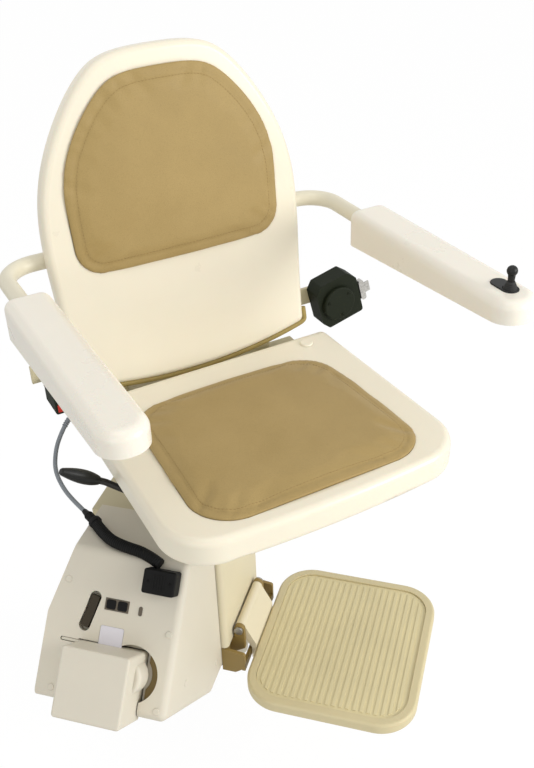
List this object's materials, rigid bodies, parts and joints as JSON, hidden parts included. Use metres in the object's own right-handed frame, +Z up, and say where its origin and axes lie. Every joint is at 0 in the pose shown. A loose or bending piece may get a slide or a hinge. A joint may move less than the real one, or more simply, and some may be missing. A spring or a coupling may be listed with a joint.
{
  "type": "stairlift chair",
  "caption": "Stairlift chair on a sloping-rail carriage: swivelling fold-up seat, fold-up arms with joystick, hinged footrest, grooved rail rollers and sprung safety bumpers.",
  "frame": {"origin": "centre line of the rail at the middle of the carriage, between the upper and lower rollers", "axes": "+X downhill (the rail drops 39.5 degrees towards +X), +Y towards the wall, +Z up"},
  "size_m": [0.7961, 0.7545, 1.1191],
  "materials": {
    "cover_beige": "fine satin grain",
    "column_cream": "satin",
    "seat_cream": "semi-gloss moulding",
    "arm_white": "semi-gloss moulding",
    "vinyl_tan": "vinyl with fine grain",
    "footrest_khaki": "satin",
    "mat_khaki": "ribbed rubber",
    "bracket_brown": "satin paint",
    "hinge_cream": "satin paint",
    "frame_black": "powder coat",
    "bare_steel": "turned",
    "zinc_plate": "zinc plated sheet",
    "cast_alloy": "as cast",
    "roller_nylon": "turned nylon",
    "bush_bronze": "turned",
    "black_plastic": "fine grain",
    "dark_window": "polished",
    "button_red": "polished",
    "webbing_black": "woven polyester",
    "stop_rubber": "moulded",
    "cable_grey": "PVC sheath",
    "battery_black": "moulded case",
    "board_green": "coated board"
  },
  "bodies": {
    "carriage": {"uphill_cover": "cover_beige", "downhill_cover": "cover_beige", "column_cover": "column_cream", "chassis_plate": "zinc_plate", "roller_axles": "bare_steel", "gearbox": "cast_alloy", "drive_motor": "frame_black", "batteries": "battery_black", "battery_tray": "zinc_plate", "control_board": "board_green", "bumper_guides": "zinc_plate", "column_post": "frame_black", "post_head": "frame_black", "swivel_post": "bare_steel", "index_plate": "zinc_plate", "footrest_bracket": "bracket_brown", "footrest_hinge_pin": "bare_steel", "end_windows": "dark_window", "cable_plug": "black_plastic", "cable_sleeve": "black_plastic", "uphill_bumper_springs": "bare_steel", "downhill_bumper_springs": "bare_steel"},
    "roller_1": {"roller_1": "roller_nylon"},
    "roller_2": {"roller_2": "roller_nylon"},
    "roller_3": {"roller_3": "roller_nylon"},
    "roller_4": {"roller_4": "roller_nylon"},
    "drive_pinion": {"drive_pinion": "bare_steel"},
    "uphill_bumper": {"uphill_bumper": "cover_beige"},
    "downhill_bumper": {"downhill_bumper": "cover_beige"},
    "isolator_rocker": {"isolator_rocker": "dark_window"},
    "footrest": {"footrest_leaf": "hinge_cream", "footrest_shell": "footrest_khaki", "footrest_mat": "mat_khaki"},
    "seat_frame": {"seat_frame": "frame_black", "swivel_bushes": "bush_bronze", "back_frame": "frame_black", "back_shell": "seat_cream", "back_cover": "seat_cream", "back_pad": "vinyl_tan", "seat_stops": "stop_rubber", "belt_retractor": "black_plastic", "belt_webbing": "webbing_black", "belt_tongue": "bare_steel", "belt_buckle": "black_plastic", "seat_cable": "cable_grey"},
    "seat": {"seat_shell": "seat_cream", "seat_base": "black_plastic", "seat_pad": "vinyl_tan", "seat_hinge_pins": "bare_steel", "seat_caps": "seat_cream"},
    "swivel_lever": {"swivel_lever": "frame_black", "lever_grip": "black_plastic"},
    "latch_pin": {"latch_pin": "bare_steel"},
    "left_arm": {"left_arm_bar": "arm_white", "left_arm_pad": "arm_white", "joystick_bezel": "black_plastic"},
    "right_arm": {"right_arm_bar": "arm_white", "right_arm_pad": "arm_white"},
    "joystick": {"joystick": "black_plastic"},
    "buckle_button": {"buckle_button": "button_red"}
  },
  "joints": [
    {"name": "seat_swivel", "type": "hinge", "parent": "carriage", "child": "seat_frame", "pos_m": [0.095, -0.278, 0.32], "axis": [0, 0, 1], "range_deg": [-45, 45], "deforming": ["seat_cable"]},
    {"name": "seat_fold", "type": "hinge", "parent": "seat_frame", "child": "seat", "pos_m": [0.17985, -0.19315, 0.3925], "axis": [-0.7071, 0.7071, 0], "range_deg": [0, 94]},
    {"name": "left_arm_fold", "type": "hinge", "parent": "seat_frame", "child": "left_arm", "pos_m": [0.38209, -0.23133, 0.611], "axis": [-0.7071, 0.7071, 0], "range_deg": [0, 88]},
    {"name": "right_arm_fold", "type": "hinge", "parent": "seat_frame", "child": "right_arm", "pos_m": [0.14167, 0.00908, 0.611], "axis": [-0.7071, 0.7071, 0], "range_deg": [0, 88]},
    {"name": "joystick_tilt", "type": "hinge", "parent": "left_arm", "child": "joystick", "pos_m": [0.12399, -0.64357, 0.632], "axis": [0.7071, 0.7071, 0], "range_deg": [-10, 10], "stiffness_Nm_per_rad": 0.05},
    {"name": "lever_press", "type": "hinge", "parent": "seat_frame", "child": "swivel_lever", "pos_m": [0.02782, -0.21083, 0.291], "axis": [-0.7071, -0.7071, 0], "range_deg": [0, 15], "stiffness_Nm_per_rad": 2, "springref_deg": -5.73},
    {"name": "latch_lift", "type": "slide", "parent": "seat_frame", "child": "latch_pin", "axis": [0, 0, 1], "range_m": [0, 0.0065]},
    {"name": "buckle_press", "type": "slide", "parent": "seat_frame", "child": "buckle_button", "axis": [0.7071, 0.7071, 0], "range_m": [0, 0.004], "stiffness_N_per_m": 300, "springref_m": -0.002},
    {"name": "footrest_fold", "type": "hinge", "parent": "carriage", "child": "footrest", "pos_m": [0.095, -0.266, -0.013], "axis": [-1, 0, 0], "range_deg": [0, 84]},
    {"name": "uphill_bumper_press", "type": "slide", "parent": "carriage", "child": "uphill_bumper", "axis": [0.7716, 0, -0.6361], "range_m": [0, 0.008], "stiffness_N_per_m": 500, "springref_m": -0.008, "deforming": ["uphill_bumper_springs"]},
    {"name": "downhill_bumper_press", "type": "slide", "parent": "carriage", "child": "downhill_bumper", "axis": [-0.7716, 0, 0.6361], "range_m": [0, 0.008], "stiffness_N_per_m": 500, "springref_m": -0.008, "deforming": ["downhill_bumper_springs"]},
    {"name": "isolator_tilt", "type": "hinge", "parent": "carriage", "child": "isolator_rocker", "pos_m": [-0.14729, -0.102, 0.17584], "axis": [-0.1539, -0.9703, -0.1867], "range_deg": [-5, 5]},
    {"name": "roller_1_spin", "type": "hinge", "parent": "carriage", "child": "roller_1", "pos_m": [0.00789, 0, 0.08032], "axis": [0, 1, 0], "continuous": true},
    {"name": "roller_2_spin", "type": "hinge", "parent": "carriage", "child": "roller_2", "pos_m": [0.19308, 0, -0.07234], "axis": [0, 1, 0], "continuous": true},
    {"name": "roller_3_spin", "type": "hinge", "parent": "carriage", "child": "roller_3", "pos_m": [-0.11592, 0, 0.00873], "axis": [0, 1, 0], "continuous": true},
    {"name": "roller_4_spin", "type": "hinge", "parent": "carriage", "child": "roller_4", "pos_m": [0.10785, 0, -0.17573], "axis": [0, 1, 0], "continuous": true},
    {"name": "pinion_spin", "type": "hinge", "parent": "carriage", "child": "drive_pinion", "pos_m": [-0.00365, 0, -0.03587], "axis": [0, 1, 0], "continuous": true}
  ],
  "couplings": [
    {"joint": "latch_lift", "follows": "lever_press", "m_per_rad": 0.0229}
  ]
}
